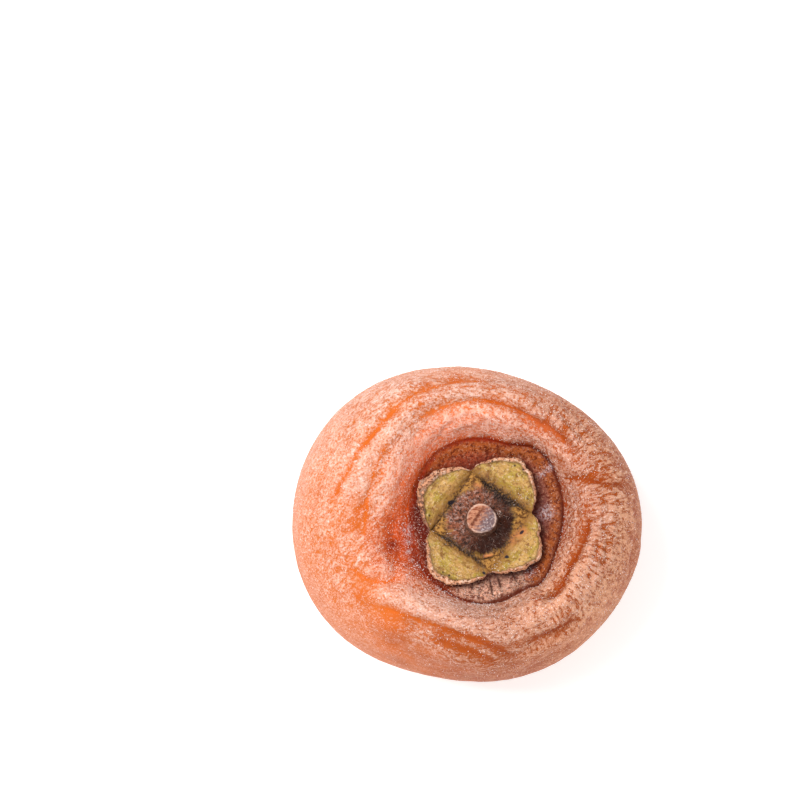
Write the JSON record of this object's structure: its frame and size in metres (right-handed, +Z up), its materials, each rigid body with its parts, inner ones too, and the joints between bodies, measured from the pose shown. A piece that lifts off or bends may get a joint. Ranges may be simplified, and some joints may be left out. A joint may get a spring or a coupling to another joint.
{
  "type": "dried persimmon",
  "caption": "Peeled and dried persimmon: a flattened, wrinkled, sugar-frosted fruit with a sunken basin that holds its lobed calyx and a cut stem stub.",
  "frame": {"origin": "middle of the flat spot that the fruit rests on, which is the bottom centre of the part's box", "axes": "+Z up along the calyx's axis, out of the resting surface; +X along the longer way across the fruit; +Y across it"},
  "size_m": [0.0618, 0.0558, 0.0352],
  "materials": {
    "dried_flesh": "orange dried flesh, matt under a powdery bloom of white sugar, with darker orange in the folds and a brown collar of peel round the calyx",
    "dried_calyx": "dry olive-yellow sepals with tan corky edges and a dark brown felted middle",
    "cut_stem": "cut woody stalk, pale tan pith with a pale rim and grey bark",
    "sugar_bloom": "fine white sugar grains that came out of the flesh while it dried"
  },
  "bodies": {
    "root": {"fruit": "dried_flesh", "calyx": "dried_calyx", "stem_stub": "cut_stem"}
  },
  "joints": []
}
